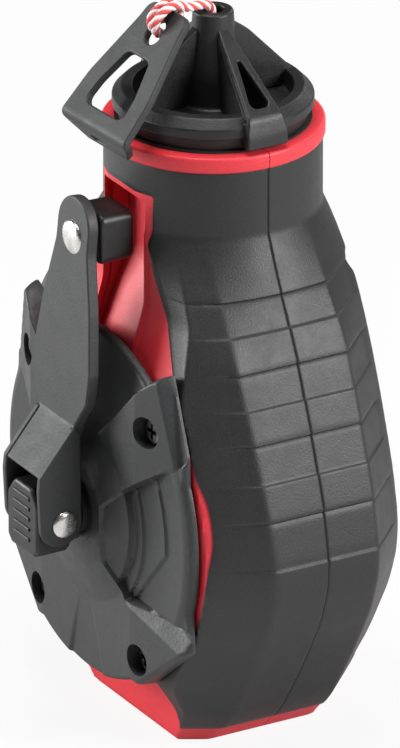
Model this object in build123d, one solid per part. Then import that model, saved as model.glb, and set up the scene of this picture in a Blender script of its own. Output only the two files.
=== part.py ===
from build123d import *
import math
import os

# Chalk line reel. Millimetres, +Z up, origin at the centre of the flat base.
# -Y is the front, where the crank is. The spool turns about the Y direction.

# Driving dimensions
hub_z = 66.0
neck_radius = 29.5
mouth_z = 166.3
ring_top_z = 170.6
front_y = -33.0
rear_y = 30.0
side_front_y = -14.5
side_rear_y = 15.5
front_taper = 29.6
rear_taper = 45.0
grip_thickness = 2.2
wall_thickness = 4.8
gear_floor_y = -24.2
chamber_front_y = -21.6
chamber_rear_y = 25.0
mouth_bore = 23.6
running_gap = 0.05
lug_half_width = 4.3
line_bore = 3.2

# Gear train: sun, three planets and a ring fixed in the case
gear_module = 1.8
sun_teeth = 12
planet_teeth = 12
ring_teeth = 36
pressure_angle = math.radians(25)
gear_front_y = -31.9
gear_width = 6.0
backlash = 0.30
planet_orbit = gear_module * (sun_teeth + planet_teeth) / 2
planet_angles = (90, 210, 330)

# Crank
pin_y = -52.0
pin_radius = 2.0
ear_inner_x = 8.4
ear_outer_x = 10.2
plate_thickness = 3.8
rivet_z = 144.4
knob_across = 14.5
release_z = 61.0
spring_z = 71.6
spring_radius = 2.6
hub_radius = 8.0
hub_square = 10.9

# Line
line_diameter = 2.6
winding_radius = 38.0
drum_radius = 16.0
flange_radius = 41.0
axle_radius = 5.0
axle_end_radius = 4.0

# Screws and rivets
screw_core = 1.5
screw_clearance = 1.7
cover_head_radius = 3.7
cover_hole_radius = 4.15
case_head_radius = 3.3
case_hole_radius = 3.6
rivet_radius = 2.5
planet_pin_radius = 2.5

# Gear cover
cover_radius = 50.0
cover_plate_y = -36.6
cover_face_y = -39.8
dome_y = -43.7

# Half width and height of points up the body's side, from the base to the neck
side_outline = [(26.9, 0), (36.9, 10), (48.5, 27.5), (57.9, 44), (62.0, 55), (62.3, 64), (59.5, 77),
                (56.4, 87), (52.8, 97), (49.2, 106), (45.6, 115), (41.5, 124), (37.4, 132), (32.8, 139),
                (30.4, 146), (29.5, 157), (29.5, 171)]


def prism_y(face, start, end):
    """Sketch in XZ coordinates, made solid between two Y values (start is the front one)."""
    plane = Plane.XZ.offset(-end)
    return extrude(plane * face, amount=end - start)


def prism_x(face, half_width):
    """Sketch in YZ coordinates, made solid between plus and minus half_width in X."""
    return extrude(Plane.YZ * face, amount=half_width, both=True)


def rod_y(x, z, radius, start, end):
    return prism_y(Pos(x, z) * Circle(radius), start, end)


def rod_z(radius, low, high, x=0, y=0):
    return Pos(x, y, (low + high) / 2) * Cylinder(radius, high - low)


def polygon(points):
    return make_face(Polyline(*points, close=True))


def mirrored(points):
    """A closed outline from its right-hand points, mirrored in X."""
    return polygon(points + [(-x, z) for x, z in reversed(points) if x > 0])


def slab(x0, x1, y0, y1, z0, z1):
    return Pos((x0 + x1) / 2, (y0 + y1) / 2, (z0 + z1) / 2) * Box(x1 - x0, y1 - y0, z1 - z0)


# Body shape

def outline_face(inset, points=side_outline):
    """The body's outline from the front, drawn in by an inset."""
    face = mirrored(points)
    return offset(face, amount=-inset, kind=Kind.INTERSECTION) if inset else face


def side_profile_yz(inset):
    """Front and rear faces of the body, seen from the side."""
    points = [(-25, 0), (-27, 12), (-33, 22), (-33, 108), (-27.7, 126), (-27.7, 156), (-29.6, 159), (-29.6, 171),
              (29.6, 171), (29.6, 121), (30, 108), (30, 15), (26, 0)]
    face = polygon(points)
    if inset:
        face = offset(face, amount=-inset, kind=Kind.INTERSECTION)
    return face


def neck_envelope(inset):
    """Revolved limit that turns the faceted body into the round neck."""
    points = [(0, -1), (75, -1), (75, 80), (48.5 - inset, 114), (38.0 - inset, 131),
              (neck_radius - inset, 147), (neck_radius - inset, 172), (0, 172)]
    return revolve(Plane.XZ * polygon(points), Axis.Z)


def body_solid(inset):
    tall = [(17.9, -14)] + side_outline[:-1] + [(29.5, 190)]
    outline = outline_face(inset, tall)
    middle = prism_y(outline, side_front_y, side_rear_y)
    front_plane = Plane.XZ.offset(-side_front_y)
    rear_plane = Plane(origin=(0, side_rear_y, 0), x_dir=(1, 0, 0), z_dir=(0, 1, 0))
    front = extrude(front_plane * outline, amount=side_front_y - front_y, taper=front_taper)
    rear_face = mirror(outline, about=Plane.XZ)
    rear = extrude(rear_plane * rear_face, amount=rear_y - side_rear_y, taper=rear_taper)
    body = middle + front + rear
    body = body & prism_x(side_profile_yz(inset), 90)
    return body & neck_envelope(inset)


def front_half():
    return slab(-90, 90, -60, 0, -5, 200)


def rear_half():
    return slab(-90, 90, 0, 60, -5, 200)


red_front = [(0, 60), (45, 92), (38, 103), (31, 114), (16, 136), (13.2, 143), (13.2, 157), (0, 157)]


def grip_mask():
    """Where the overmould lies: round the sides and the neck, clear of the round front and rear panels."""
    side = [(0, 20), (26.5, 14.5), (30, 6), (75, 6), (75, mouth_z), (0, mouth_z)]
    region = prism_y(mirrored(side), -60, 60)
    region -= rod_y(0, hub_z, 52, -60, -27.0)
    region -= prism_y(mirrored(red_front), -60, -14)
    region -= prism_y(mirrored([(0, -5), (24, -5), (24, 21), (0, 21)]), -60, -16)
    region -= rod_y(0, hub_z, 40, 23, 60)
    region -= prism_y(mirrored([(0, -5), (22, -5), (22, 21), (0, 30)]), 16, 60)
    return region


def knob_pocket():
    """Recess in the front of the neck that the folded knob sits over."""
    back = [(-40, 100), (-33.5, 103), (-30.5, 106), (-20, 134), (-20, 155.5), (-40, 155.5)]
    return prism_x(polygon(back), 11)


def pocket_wall():
    """Material kept behind the knob pocket."""
    keep = [(-40, 96), (-28.0, 102), (-17.4, 130), (-17.4, 158), (-40, 158)]
    return prism_x(polygon(keep), 13.4)


def case_screw_places():
    """Centre and the Y of the head's seat, three screws a side."""
    return [(side * x, z, seat) for x, z, seat in ((50, 75, 18.2), (28.5, 18.5, 19.5), (21.5, 130, 23.5))
            for side in (-1, 1)]


def cover_screw_places():
    return [(side * 32, 98.5, -39.0) for side in (-1, 1)] + [(side * 27, 29.5, -38.3) for side in (-1, 1)]


def cavity():
    inner = body_solid(wall_thickness) & slab(-90, 90, chamber_front_y, chamber_rear_y, 3, 168)
    inner += rod_z(neck_radius - wall_thickness, 118, 168)
    inner -= pocket_wall()
    for x, z, seat in case_screw_places():
        inner -= rod_y(x, z, 4.2, -40, 40)
    inner += rod_z(mouth_bore, 157.5, 175)
    return inner


def make_seal():
    """Flat rubber strip in the joint between the two halves."""
    strip = prism_y(outline_face(3.0), -0.6, 0.6) - prism_y(outline_face(4.0), -1, 1)
    return strip - slab(-60, 60, -2, 2, 150, 175)


def make_body():
    outer = body_solid(0)
    grips = (outer - body_solid(grip_thickness)) & grip_mask()
    hollow = cavity()
    collar = rod_z(neck_radius + 0.6, mouth_z, ring_top_z) - rod_z(mouth_bore, 160, 175)
    shell = (outer & slab(-90, 90, -60, 60, -1, mouth_z)) - grips - hollow
    shell += collar
    shell -= knob_pocket()
    shell -= make_seal()
    # bayonet slots in the mouth
    for side in (-1, 1):
        shell -= rod_z(25.4, 161.0, 165.0) & slab(side * 24.5 - 6, side * 24.5 + 6, -17, 17, 160, 166)
        shell -= rod_z(25.4, 161.0, 171.0) & slab(-60, 60, side * 17 - 9, side * 17 + 9, 160, 172) \
            & slab(side * 22 - 9, side * 22 + 9, -60, 60, 160, 172)
    front = shell & front_half()
    rear = shell & rear_half()
    # gear chamber, cover seat and bores in the front half
    front -= rod_y(0, hub_z, 40.0, -40, gear_floor_y)
    front -= rod_y(0, hub_z, 7.0, -40, 0)
    for x, z, mouth in cover_screw_places():
        front -= rod_y(x, z, screw_core, mouth, -24)
    # rear boss for the spool's bush
    rear += rod_y(0, hub_z, 9.0, 22.5, 26.5)
    rear -= rod_y(0, hub_z, 6.5, 20.0, 26.8)
    front -= make_cover_seal()
    for x, z, seat in case_screw_places():
        rear -= rod_y(x, z, screw_clearance, -30, 26.0)
        rear -= rod_y(x, z, case_hole_radius, seat, 40)
        front -= rod_y(x, z, screw_core, seat - 32, 1)
        grips -= rod_y(x, z, case_hole_radius, seat - 4, 40)
    return {"front_shell": biggest(front), "rear_shell": biggest(rear),
            "front_grip": biggest(grips & front_half()), "rear_grip": biggest(grips & rear_half()),
            "case_seal": make_seal()}


def biggest(shape):
    return sorted(shape.solids(), key=lambda solid: solid.volume)[-1]


# Screws

def cross_recess(x, z, y, size, depth):
    bars = Rectangle(size, size * 0.26) + Rectangle(size * 0.26, size)
    return prism_y(Pos(x, z) * bars, y, y + depth)


def front_screw(x, z, head_y, head_radius, length):
    head = rod_y(x, z, head_radius, head_y, head_y + 2.2)
    head = fillet(head.edges().group_by(Axis.Y)[0], 0.8)
    screw = head + rod_y(x, z, screw_core, head_y + 2.2, head_y + length)
    return screw - cross_recess(x, z, head_y, head_radius * 1.25, 1.3)


def case_screw(x, z, seat):
    screw = rod_y(x, z, case_head_radius, seat, seat + 2.2) + rod_y(x, z, screw_core, seat - 31, seat)
    return screw - cross_recess(x, z, seat + 0.9, 4.2, 1.4)


def make_screws():
    cover_set = [front_screw(x, z, mouth + 1.6, cover_head_radius, 12.0) for x, z, mouth in cover_screw_places()]
    case_set = [case_screw(x, z, seat) for x, z, seat in case_screw_places()]
    return {"cover_screws": Compound(cover_set), "case_screws": Compound(case_set)}


# Gear cover

def cover_outline():
    disc = Pos(0, hub_z) * Circle(cover_radius)
    lugs = [(0, 98.6), (13, 98.6), (33, 113.5), (37, 116), (44, 94), (45, 66), (48, 39), (26, 21), (0, 22)]
    return (disc + mirrored(lugs)) & Pos(0, 22 + 60) * Rectangle(120, 120)


def window_outline(margin=0.0):
    """Right-hand recessed window between the arms of the cover."""
    points = [(14.5, 55), (14.5, 71), (23, 79), (47, 95), (60, 84), (60, 50), (47, 43.5), (22, 45)]
    face = polygon(points)
    return offset(face, amount=margin, kind=Kind.INTERSECTION) if margin else face


def make_cover():
    cover = prism_y(cover_outline(), cover_plate_y, front_y)
    plateau = [(0, 97), (12.5, 97), (33, 112), (36, 113.5), (42.5, 95), (44, 66), (46, 40), (26, 24.5), (0, 25)]
    base_plane = Plane.XZ.offset(-cover_plate_y)
    raised = Pos(0, hub_z) * Circle(cover_radius - 1.5) & mirrored(plateau)
    top = extrude(base_plane * raised, amount=cover_plate_y - cover_face_y, taper=18)
    lugs = extrude(base_plane * mirrored(plateau), amount=2.0, taper=24)
    cover = cover + top + lugs + dome_solid()
    for side in (1, -1):
        window = window_outline() if side == 1 else mirror(window_outline(), about=Plane.YZ)
        ring = Pos(0, hub_z) * (Circle(49) - Circle(20))
        cover -= prism_y(window & ring, -50, -37.6)
        for inner, outer, level in ((20, 27, -39.0), (29.5, 31, -38.6), (36, 37.5, -38.4)):
            rib = prism_y(window & (Pos(0, hub_z) * (Circle(outer) - Circle(inner))), level, -37.4)
            cover += rib
    # hollow for the carrier and the bore for the crank
    cover -= rod_y(0, hub_z, 39.0, -35.6, -32)
    cover -= rod_y(0, hub_z, 10.5, -60, -30)
    cover -= make_cover_seal()
    for x, z, mouth in cover_screw_places():
        cover -= rod_y(x, z, cover_hole_radius, -60, mouth + 3.8)
        cover -= rod_y(x, z, screw_clearance, -60, -30)
    return biggest(cover)


def dome_solid():
    profile = polygon([(0, cover_plate_y), (30, cover_plate_y), (30, cover_face_y), (19, -42.6), (12, dome_y),
                       (0, dome_y)])
    return Pos(0, 0, hub_z) * revolve(profile, Axis.Y)


def make_cover_seal():
    ring = Pos(0, hub_z) * (Circle(41.6) - Circle(40.3))
    return prism_y(ring, front_y - 0.6, front_y + 0.9)


# Gears

def involute_point(base, radius):
    roll = math.sqrt(max((radius / base) ** 2 - 1, 0))
    return roll - math.atan(roll)


def gear_points(teeth, root, tip, thinning, steps=3):
    pitch = gear_module * teeth / 2
    base = pitch * math.cos(pressure_angle)
    half = math.pi / (2 * teeth) - thinning / (2 * pitch) + involute_point(base, pitch)
    start = max(base, root)
    flank = []
    for step in range(steps + 1):
        radius = start + (tip - start) * step / steps
        flank.append((radius, half - involute_point(base, radius)))
    if root < start:
        flank.insert(0, (root, flank[0][1]))
    points = []
    for tooth in range(teeth):
        centre = 2 * math.pi * tooth / teeth
        points += [(radius, centre - angle) for radius, angle in flank]
        points += [(radius, centre + angle) for radius, angle in reversed(flank)]
    return [(radius * math.cos(angle), radius * math.sin(angle)) for radius, angle in points]


def external_gear(teeth, turn):
    pitch = gear_module * teeth / 2
    points = gear_points(teeth, pitch - 1.05 * gear_module, pitch + 0.8 * gear_module, backlash / 2)
    return Rot(0, 0, turn) * polygon(points)


def make_gears():
    gear_back = gear_front_y + gear_width
    sun = prism_y(Pos(0, hub_z) * external_gear(sun_teeth, 0), gear_front_y, gear_back)
    sun -= rod_y(0, hub_z, axle_radius, -40, 0)
    ring_pitch = gear_module * ring_teeth / 2
    space = gear_points(ring_teeth, ring_pitch - 0.78 * gear_module, ring_pitch + 1.0 * gear_module,
                        -backlash / 2)
    spaces = Rot(0, 0, 180 / ring_teeth) * polygon(space)
    ring = prism_y(Pos(0, hub_z) * (Circle(39.6) - spaces), gear_front_y - 0.3, gear_back + 0.3)
    nodes = {"sun_gear": sun, "ring_gear": ring}
    for number, angle in enumerate(planet_angles, 1):
        x = planet_orbit * math.cos(math.radians(angle))
        z = planet_orbit * math.sin(math.radians(angle)) + hub_z
        planet = prism_y(Pos(x, z) * external_gear(planet_teeth, angle + 180 / planet_teeth),
                         gear_front_y, gear_back)
        nodes[f"planet_gear_{number}"] = planet - rod_y(x, z, planet_pin_radius + running_gap, -40, 0)
    return nodes


def planet_places():
    return [(planet_orbit * math.cos(math.radians(a)), planet_orbit * math.sin(math.radians(a)) + hub_z)
            for a in planet_angles]


def make_carrier():
    plate = Pos(0, hub_z) * Circle(11)
    for x, z in planet_places():
        plate += Pos(x, z) * Circle(6.5)
        arm = Rectangle(planet_orbit, 10)
        angle = math.degrees(math.atan2(z - hub_z, x))
        plate += Pos(x / 2, (z + hub_z) / 2) * Rot(0, 0, angle) * arm
    carrier = prism_y(plate, -35.2, -32.3)
    carrier -= prism_y(Pos(0, hub_z) * Rectangle(hub_square + 0.1, hub_square + 0.1), -40, -30)
    carrier -= rod_y(0, release_z, 1.6, -40, -30)
    pins = []
    for x, z in planet_places():
        carrier -= rod_y(x, z, 2.0, -40, -30)
        pins.append(rod_y(x, z, 2.0, -35.2, -32.3) + rod_y(x, z, planet_pin_radius, -32.3, -25.2))
    return {"carrier": carrier, "planet_pins": Compound(pins)}


# Spool

def make_spool():
    drum = rod_y(0, hub_z, drum_radius, -18.5, 21.5) - rod_y(0, hub_z, drum_radius - 2.5, -15.5, 18.5)
    spool = drum
    for start in (-20.0, 19.5):
        flange = rod_y(0, hub_z, flange_radius, start, start + 2.0)
        for turn in range(6):
            angle = math.radians(60 * turn + 30)
            flange -= rod_y(29 * math.cos(angle), hub_z + 29 * math.sin(angle), 6.0, -30, 30)
        spool += flange
    spool -= rod_y(0, hub_z, axle_radius, -40, 40)
    axle = rod_y(0, hub_z, axle_radius, -32.2, 21.8) + rod_y(0, hub_z, axle_end_radius, 21.8, 26.4)
    winding = rod_y(0, hub_z, winding_radius, -17.9, 19.4) - rod_y(0, hub_z, drum_radius + 0.02, -30, 30)
    return {"spool": spool, "spool_axle": axle, "line_winding": winding}


def make_bushes():
    front = rod_y(0, hub_z, 6.9, -24.6, -20.9) - rod_y(0, hub_z, axle_radius + running_gap, -40, 0)
    rear = rod_y(0, hub_z, 6.4, 22.6, 26.7) - rod_y(0, hub_z, axle_end_radius + running_gap, 20, 30)
    hub = rod_y(0, hub_z, 10.4, -43.6, -36.2) - rod_y(0, hub_z, hub_radius + running_gap, -60, 0)
    return {"front_bush": front, "rear_bush": rear, "crank_bush": hub}


# Crank

def make_hub():
    block = prism_y(button_face(1.9), -54.6, -44.2)
    hub = block + rod_y(0, hub_z, hub_radius, -45.0, -35.25)
    hub += prism_y(Pos(0, hub_z) * Rectangle(hub_square, hub_square), -35.25, -32.4)
    hub -= Pos(0, pin_y, hub_z) * Rot(0, 90, 0) * Cylinder(pin_radius, 40)
    hub -= rod_y(0, spring_z, spring_radius + 0.5, -60, -50.4)
    hub -= rod_y(0, release_z, 1.5, -60, -30)
    return hub


def make_hinge_pin():
    turned = Pos(0, pin_y, hub_z) * Rot(0, 90, 0) * Cylinder(pin_radius - 0.01, 20.8)
    for side in (-1, 1):
        head = Pos(side * 11.0, pin_y, hub_z) * Rot(0, 90, 0) * Cylinder(3.65, 1.3)
        head = fillet(head.edges().group_by(Axis.X)[-1 if side > 0 else 0], 0.9)
        turned += head
    return turned


def button_face(margin=0.0):
    half = 8.1 - margin
    low = 56.0 + margin
    high = 76.4 - margin
    return polygon([(-half, low + 2), (-half + 2, low), (half - 2, low), (half, low + 2), (half, high - 5),
                    (half - 3.5, high - 1), (0, high), (-half + 3.5, high - 1), (-half, high - 5)])


def make_button():
    button = prism_y(button_face(), -59.4, -48.6)
    button = fillet(button.faces().sort_by(Axis.Y)[0].edges(), 0.7)
    button -= prism_y(button_face(1.6), -57.3, -40)
    button -= slab(-20, 20, -56.9, -40, hub_z - 2.4, hub_z + 2.4)
    button += rod_y(0, release_z, 1.4, -57.5, -35.4)
    for level in (60.5, 63.5, 66.5, 69.5, 72.5):
        button += slab(-4.6, 4.6, -59.9, -59.2, level - 0.6, level + 0.6)
    return button


def make_button_spring():
    """Plain sleeve the size of the coil spring."""
    return rod_y(0, spring_z, spring_radius, -57.1, -50.5) - rod_y(0, spring_z, spring_radius - 0.5, -60, -50)


def make_arm():
    shift = plate_thickness
    plate = [(-42.5, 155.6), (-48.5, 93.4), (-59.5, 80), (-57.0, 78.1), (-45.4, 91.4), (-42.5 + shift, 155.6)]
    outline = [(3.0, 155.6), (6.6, 154.2), (8.25, 150.5), (8.25, 143), (12.4, 126), (14.7, 108.5), (14.3, 99.5),
               (10.2, 93.4), (10.2, 76)]
    arm = prism_x(polygon(plate), 30) & prism_y(mirrored(outline), -70, -30)
    ear = make_hull(Polyline((-59.5, 80), (-56.6, 77.6), (-47.2, 89.2), (-50.0, 91.0)).edges()
                    + (Pos(pin_y, hub_z) * Circle(6.8)).edges())
    ears = extrude(Plane.YZ.offset(ear_inner_x) * ear, amount=ear_outer_x - ear_inner_x)
    arm = arm + ears + mirror(ears, about=Plane.YZ)
    arm -= Pos(0, pin_y, hub_z) * Rot(0, 90, 0) * Cylinder(pin_radius + running_gap, 40)
    arm -= rod_y(0, rivet_z, 5.1, -60, -43.2)
    arm -= rod_y(0, rivet_z, rivet_radius, -60, -30)
    return biggest(arm)


def make_knob():
    knob = prism_y(Pos(0, rivet_z) * RegularPolygon(knob_across / 2, 8, major_radius=False, rotation=22.5),
                   -38.75, -28.1)
    knob = fillet(knob.edges().filter_by(Axis.Y), 1.2)
    knob = fillet(knob.faces().sort_by(Axis.Y)[-1].edges(), 1.0)
    knob -= rod_y(0, rivet_z, rivet_radius + running_gap, -50, 0)
    knob -= rod_y(0, rivet_z, 4.3, -30.4, 0)
    rivet = rod_y(0, rivet_z, 4.8, -44.6, -43.2)
    rivet = fillet(rivet.faces().sort_by(Axis.Y)[0].edges(), 1.0)
    rivet += rod_y(0, rivet_z, rivet_radius, -43.2, -30.2) + rod_y(0, rivet_z, 4.0, -30.2, -28.9)
    return {"crank_knob": knob, "knob_rivet": rivet}


# Cap, gasket, wiper

def make_cap():
    profile = [(line_bore, 201.6), (4.9, 201.6), (5.6, 200.8), (6.2, 194), (7.6, 184), (9.5, 178.4), (21.5, 178.4),
               (21.5, 180), (25.2, 180), (27.3, 177.6), (27.3, 171.2), (mouth_bore - 0.2, 171.2),
               (mouth_bore - 0.2, 158.6), (20.4, 158.6), (20.4, 173.6), (8.0, 175.8), (line_bore, 186)]
    cap = revolve(Plane.XZ * polygon(profile), Axis.Z)
    fin = polygon([(4.0, 197.6), (5.8, 197.6), (26.0, 180.6), (26.0, 178), (4.0, 178)])
    thin = extrude(Plane.XZ * fin, amount=1.6, both=True)
    thick = extrude(Plane.XZ * fin, amount=5.2, both=True)
    web = polygon([(9.5, 178.6), (9.5, 192.2), (23.5, 180.4), (23.5, 178.6)])
    slot = extrude(Plane.XZ * web, amount=3.2, both=True)
    for turn in (0, 180):
        cap += Rot(0, 0, turn) * (thick - slot)
        cap += Rot(0, 0, turn) * slab(24.6, 29.6, -6.4, 6.4, 171.3, 180.0)
    for turn in (90, 270):
        cap += Rot(0, 0, turn) * thin
    cap -= rod_z(20.4, 150, 173.6)
    for turn in (45, 225):
        lug = slab(20.8, 25.0, -lug_half_width, lug_half_width, 161.4, 164.6) & rod_z(25.1, 150, 170)
        cap += Rot(0, 0, turn) * lug
    cap -= rod_z(line_bore, 150, 210)
    return cap


def make_wiper():
    washer = rod_z(20.2, 170.4, 173.4) - rod_z(line_diameter / 2 + 0.4, 160, 190)
    keeper = rod_z(20.3, 168.4, 170.3) - rod_z(6.0, 160, 190)
    for turn in range(6):
        angle = math.radians(60 * turn)
        keeper -= rod_z(3.2, 160, 190, 13 * math.cos(angle), 13 * math.sin(angle))
    gasket = rod_z(26.6, ring_top_z + 0.02, 171.15) - rod_z(mouth_bore - 0.1, 150, 190)
    return {"line_wiper": washer, "wiper_retainer": keeper, "cap_gasket": gasket}


# Hook and line

hook_top = (-13.5, 205.0)
hook_low = (-39.5, 176.0)
hook_thickness = 2.4
hook_half_width = 14.0
hook_turn = 4.0
lip_length = 9.6


def hook_plane():
    """Plane of the hook's plate: x across, y up the slope, z out to the front."""
    dy, dz = hook_top[0] - hook_low[0], hook_top[1] - hook_low[1]
    length = math.hypot(dy, dz)
    return Plane(origin=(0, hook_low[0], hook_low[1]), x_dir=(1, 0, 0), z_dir=(0, -dz / length, dy / length))


def make_hook():
    length = math.hypot(hook_top[0] - hook_low[0], hook_top[1] - hook_low[1])
    outline = mirrored([(hook_half_width, 0), (13.3, 12), (8.6, length - 4), (5.6, length)])
    plate = extrude(hook_plane() * outline, amount=-hook_thickness)
    oval = Pos(0, length - 7.6) * Rot(0, 0, 90) * SlotOverall(7.8, 5.6)
    slot = make_hull((Pos(0, 8.0) * SlotOverall(17.0, 5.0)).edges()
                     + (Pos(0, length - 18.0) * SlotOverall(9.6, 4.6)).edges())
    plate -= extrude(hook_plane() * oval, amount=-10, both=True)
    plate -= extrude(hook_plane() * slot, amount=-10, both=True)
    # the lip leans back under the plate and narrows to a notched edge
    lip_plane = Plane(origin=(0, hook_low[0], hook_low[1]), x_dir=(1, 0, 0), z_dir=(0, -0.79, -0.613))
    tongue = mirrored([(hook_half_width, 1.2), (hook_half_width, -1.0), (9.0, -lip_length)])
    lip = extrude(lip_plane * tongue, amount=-hook_thickness)
    notch = Pos(-2.5, -lip_length) * SlotOverall(5.6, 3.4)
    lip -= extrude(lip_plane * notch, amount=-10, both=True)
    return Rot(0, 0, hook_turn) * biggest(plate + lip)


def cord(points, radii, radius):
    path = FilletPolyline(*points, radius=radii)
    print("cord length", round(path.length, 1), "radii", radii)
    return sweep(Plane(origin=path @ 0, z_dir=path % 0) * Circle(radius), path=path)


def make_lines():
    half = line_diameter / 2
    lead = rod_z(half, 106.5, 160.0)
    tail = cord([(0, 0, 161.0), (0, 0, 205.0), (0.7, -8.6, 206.4), (1.6, -14.6, 203.4)], [2.9, 2.9], half)
    return {"line_lead": lead, "line_end": tail}


def all_nodes():
    nodes = make_body()
    nodes.update(make_screws())
    nodes["gear_cover"] = make_cover()
    nodes["cover_seal"] = make_cover_seal()
    nodes.update(make_gears())
    nodes.update(make_carrier())
    nodes.update(make_spool())
    nodes.update(make_bushes())
    nodes["crank_hub"] = make_hub()
    nodes["hinge_pin"] = make_hinge_pin()
    nodes["push_button"] = make_button()
    nodes["button_spring"] = make_button_spring()
    nodes["crank_arm"] = make_arm()
    nodes.update(make_knob())
    nodes["cap"] = make_cap()
    nodes.update(make_wiper())
    nodes["hook"] = make_hook()
    nodes.update(make_lines())
    return nodes


os.makedirs("parts", exist_ok=True)
for name, shape in all_nodes().items():
    shape.label = name
    export_step(shape, f"parts/{name}.step")
    print(name, round(shape.volume))
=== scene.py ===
import bpy
import bmesh
import math
import numpy as np
from mathutils import Matrix, Vector
from mathutils.geometry import tessellate_polygon


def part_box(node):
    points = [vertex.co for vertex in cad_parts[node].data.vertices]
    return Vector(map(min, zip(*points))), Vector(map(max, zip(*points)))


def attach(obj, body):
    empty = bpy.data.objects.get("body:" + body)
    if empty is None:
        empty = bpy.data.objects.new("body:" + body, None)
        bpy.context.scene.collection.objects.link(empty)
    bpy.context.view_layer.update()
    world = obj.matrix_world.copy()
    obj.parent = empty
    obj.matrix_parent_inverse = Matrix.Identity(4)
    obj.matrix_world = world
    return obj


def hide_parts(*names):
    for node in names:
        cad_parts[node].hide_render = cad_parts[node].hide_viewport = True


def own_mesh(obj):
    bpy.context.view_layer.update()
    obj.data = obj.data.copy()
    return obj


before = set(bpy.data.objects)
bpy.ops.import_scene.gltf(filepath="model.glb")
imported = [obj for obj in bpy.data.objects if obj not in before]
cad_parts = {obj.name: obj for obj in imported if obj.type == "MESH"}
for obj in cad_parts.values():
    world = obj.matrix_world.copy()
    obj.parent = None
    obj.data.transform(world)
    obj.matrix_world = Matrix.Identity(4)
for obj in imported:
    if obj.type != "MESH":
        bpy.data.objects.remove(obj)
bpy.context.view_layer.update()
mm = 0.001
hubHeight = 66.0  # height of the spool and crank axis, mm
halvings = 26  # steps of a search for an outline
print("frame loaded:", len(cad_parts), "nodes")


# shader helpers: a Value wraps one socket, and arithmetic on it adds Math nodes
class Value:
    def __init__(self, nodes, socket):
        self.nodes = nodes
        self.socket = socket

    def maths(self, operation, first, second):
        return self.nodes.add("ShaderNodeMath", {"operation": operation}, {0: first, 1: second})

    def __add__(self, other):
        return self.maths("ADD", self, other)

    def __radd__(self, other):
        return self.maths("ADD", other, self)

    def __mul__(self, other):
        return self.maths("MULTIPLY", self, other)

    def __rmul__(self, other):
        return self.maths("MULTIPLY", other, self)

    def ramp(self, low, high):  # 0 at low, 1 at high, smooth between
        return self.nodes.add("ShaderNodeMapRange", {"interpolation_type": "SMOOTHSTEP"},
                              {"Value": self, "From Min": low, "From Max": high})


class Nodes:
    def __init__(self, owner):
        owner.use_nodes = True
        self.tree = owner.node_tree

    def add(self, kind, settings=None, sockets=None, out=0):
        node = self.tree.nodes.new(kind)
        for key, value in (settings or {}).items():
            setattr(node, key, value)
        for key, value in (sockets or {}).items():
            self.feed(node.inputs[key], value)
        return Value(self, node.outputs[out])

    def feed(self, socket, value):
        if isinstance(value, Value):
            self.tree.links.new(value.socket, socket)
        else:
            socket.default_value = value


class Finish(Nodes):
    def __init__(self, name, **constants):
        self.material = bpy.data.materials.new(name)
        super().__init__(self.material)
        self.shader = self.tree.nodes["Principled BSDF"]
        for socket, value in constants.items():
            self.shader.inputs[socket].default_value = value
        self.place = self.add("ShaderNodeTexCoord", out="Object")

    def give(self, socket, value):  # what varies over the surface goes in here
        self.feed(self.shader.inputs[socket], value)

    def noise(self, scale, detail=3.0, roughness=0.55):
        return self.add("ShaderNodeTexNoise", None, {"Vector": self.place, "Scale": scale,
                                                     "Detail": detail, "Roughness": roughness})

    def mix(self, factor, first, second):
        colours = {6: (*first, 1), 7: (*second, 1)}
        return self.add("ShaderNodeMix", {"data_type": "RGBA"}, {0: factor, **colours}, 2)

    def bump(self, height, distance, strength):
        relief = self.add("ShaderNodeBump", None, {"Height": height, "Distance": distance,
                                                   "Strength": strength})
        self.give("Normal", relief)


# moulded and rubbery finishes share one recipe: mottled colour, uneven gloss, fine sparkle grain
# low colour, high colour, roughness, depth of the grain in metres, fineness of the grain
plasticLooks = {
    "gripRubber": ((0.011, 0.011, 0.011), (0.024, 0.024, 0.025), (0.43, 0.53), 0.00010, 1900),
    "coverPlastic": ((0.024, 0.025, 0.026), (0.038, 0.039, 0.041), (0.42, 0.58), 0.00010, 1100),
    "armPlastic": ((0.021, 0.022, 0.023), (0.034, 0.035, 0.037), (0.50, 0.62), 0.00010, 1300),
    "capPlastic": ((0.008, 0.008, 0.0083), (0.016, 0.016, 0.0165), (0.40, 0.56), 0.00010, 1200),
    "knobPlastic": ((0.010, 0.010, 0.0105), (0.019, 0.019, 0.020), (0.36, 0.52), 0.00007, 1200),
    "redPlastic": ((0.66, 0.028, 0.042), (0.78, 0.040, 0.056), (0.44, 0.56), 0.00005, 1400),
    "gearPlastic": ((0.62, 0.60, 0.54), (0.74, 0.72, 0.66), (0.35, 0.50), 0.00003, 900),
    "blackRubber": ((0.012, 0.012, 0.012), (0.022, 0.022, 0.022), (0.55, 0.70), 0.00006, 900),
    "hookCoat": ((0.016, 0.017, 0.018), (0.028, 0.029, 0.031), (0.54, 0.66), 0.00008, 1500),
}


def mouldedFinish(name, low, high, rough, grain, grainSize):
    finish = Finish(name)
    cloud = finish.noise(28, 3)
    speck = finish.noise(grainSize * 1.6, 2, 0.6)
    tone = (cloud * 0.18 + speck * 0.82).ramp(0.30, 0.70)
    finish.give("Base Color", finish.mix(tone, low, high))
    wear = finish.noise(160, 5, 0.65)
    finish.give("Roughness", rough[0] + (wear * 0.6 + speck * 0.4).ramp(0.35, 0.70) * (rough[1] - rough[0]))
    fine = finish.noise(grainSize, 3, 0.6)
    finish.bump(fine + 0.35 * finish.noise(grainSize * 2.4, 2), grain, 0.8)
    return finish.material


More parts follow.
